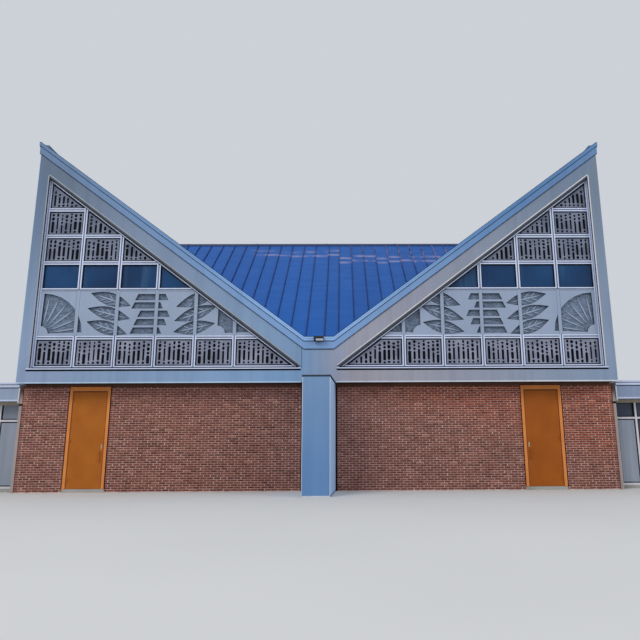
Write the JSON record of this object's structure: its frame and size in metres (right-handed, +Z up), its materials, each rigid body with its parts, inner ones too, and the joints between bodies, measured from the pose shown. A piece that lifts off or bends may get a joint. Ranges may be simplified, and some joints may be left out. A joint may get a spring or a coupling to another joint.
{
  "type": "modern church building",
  "caption": "Church hall with mirrored triangular gables over a brick storey, a blue metal roof, a front pier, orange doors and low side wings.",
  "frame": {"origin": "on the ground at the middle of the plan", "axes": "+X along the front, to the right for someone facing it; +Z up; the front faces -Y"},
  "size_m": [29.96, 17.824, 11.03],
  "materials": {
    "brick": "red-brown running-bond brick with pale mortar",
    "frame_paint": "matt pale grey-blue paint on smooth panels",
    "bar_paint": "satin pale grey paint",
    "cornice_metal": "satin pale blue-grey sheet metal",
    "roof_metal": "satin deep blue standing-seam sheet",
    "screen_concrete": "cast openwork screen, mid grey",
    "relief_stone": "pale grey raised shapes on darker textured stone",
    "window_glass": "dark blue-grey glass",
    "door_paint": "orange-brown flush leaf",
    "door_frame_paint": "brighter orange-brown frame",
    "floor_concrete": "plain concrete",
    "white_metal": "satin off-white paint",
    "black_metal": "black powder coat"
  },
  "bodies": {
    "building": {"front_left_brick": "brick", "front_middle_brick": "brick", "front_right_brick": "brick", "back_brick": "brick", "left_brick": "brick", "right_brick": "brick", "left_wing_walls": "brick", "right_wing_walls": "brick", "floor_slab": "floor_concrete", "front_pier": "frame_paint", "back_pier": "frame_paint", "front_centre_panel": "frame_paint", "back_upper_wall": "frame_paint", "front_cornice": "cornice_metal", "back_cornice": "cornice_metal", "floodlight": "black_metal", "back_left_glass": "window_glass", "back_right_glass": "window_glass", "roof_front_slope": "roof_metal", "roof_back_slope": "roof_metal", "ridge_cap": "roof_metal", "front_left_beam": "frame_paint", "front_left_post": "frame_paint", "front_left_rafter": "frame_paint", "front_left_bars": "bar_paint", "front_left_lower_screen": "screen_concrete", "front_left_relief": "relief_stone", "front_left_glass": "window_glass", "front_left_upper_screen": "screen_concrete", "left_upper_wall": "frame_paint", "left_glass": "window_glass", "left_cornice": "cornice_metal", "roof_left_slope": "roof_metal", "left_door_frame": "door_frame_paint", "left_door_lintel": "brick", "left_downspout": "white_metal", "left_wing_roof": "frame_paint", "left_wing_window_frame": "white_metal", "left_wing_glass": "window_glass", "front_right_beam": "frame_paint", "front_right_post": "frame_paint", "front_right_rafter": "frame_paint", "front_right_bars": "bar_paint", "front_right_lower_screen": "screen_concrete", "front_right_relief": "relief_stone", "front_right_glass": "window_glass", "front_right_upper_screen": "screen_concrete", "right_upper_wall": "frame_paint", "right_glass": "window_glass", "right_cornice": "cornice_metal", "roof_right_slope": "roof_metal", "right_door_frame": "door_frame_paint", "right_door_lintel": "brick", "right_downspout": "white_metal", "right_wing_roof": "frame_paint", "right_wing_window_frame": "white_metal", "right_wing_glass": "window_glass"},
    "left_door": {"left_door": "door_paint"},
    "right_door": {"right_door": "door_paint"}
  },
  "joints": [
    {"name": "left_door_hinge", "type": "hinge", "parent": "building", "child": "left_door", "pos_m": [-7.5395, -6.787, 1.5], "axis": [0, 0, -1], "range_deg": [0, 100]},
    {"name": "right_door_hinge", "type": "hinge", "parent": "building", "child": "right_door", "pos_m": [7.3665, -6.787, 1.5], "axis": [0, 0, 1], "range_deg": [0, 100]}
  ]
}
